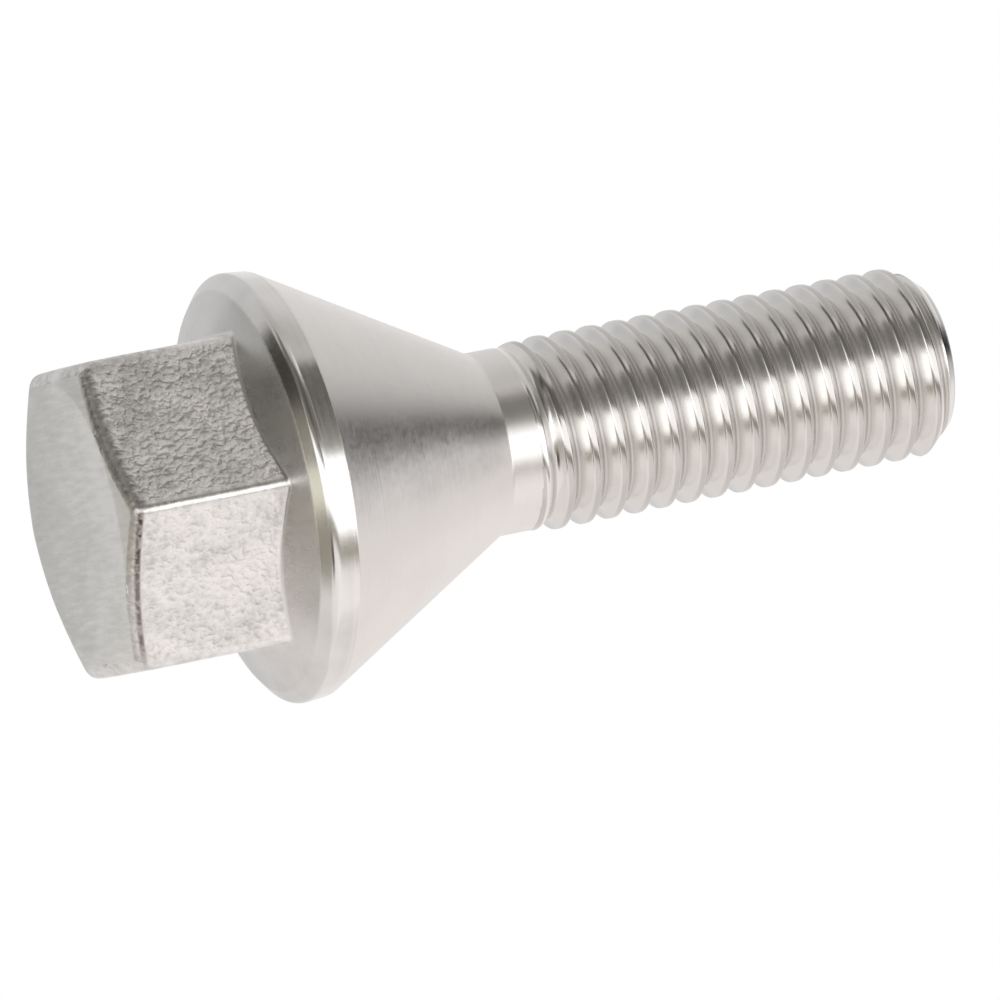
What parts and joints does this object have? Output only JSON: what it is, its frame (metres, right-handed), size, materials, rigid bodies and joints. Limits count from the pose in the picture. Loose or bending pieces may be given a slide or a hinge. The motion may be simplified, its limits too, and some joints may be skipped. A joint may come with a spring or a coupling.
{
  "type": "wheel bolt",
  "caption": "One-piece wheel bolt: hexagon head, round flange, conical seat, short plain neck and a right-hand metric thread.",
  "frame": {"origin": "centre of the head's end face, which the bolt stands on", "axes": "+Z along the bolt's axis from the head to the thread's tip; +X and -X through two corners of the hexagon"},
  "size_m": [0.0266, 0.0266, 0.0561],
  "materials": {
    "plated_steel": "bright zinc or nickel plated steel: grainy forged hexagon, satin turned seat, smooth shiny rolled thread"
  },
  "bodies": {
    "root": {"wheel_bolt": "plated_steel"}
  },
  "joints": []
}
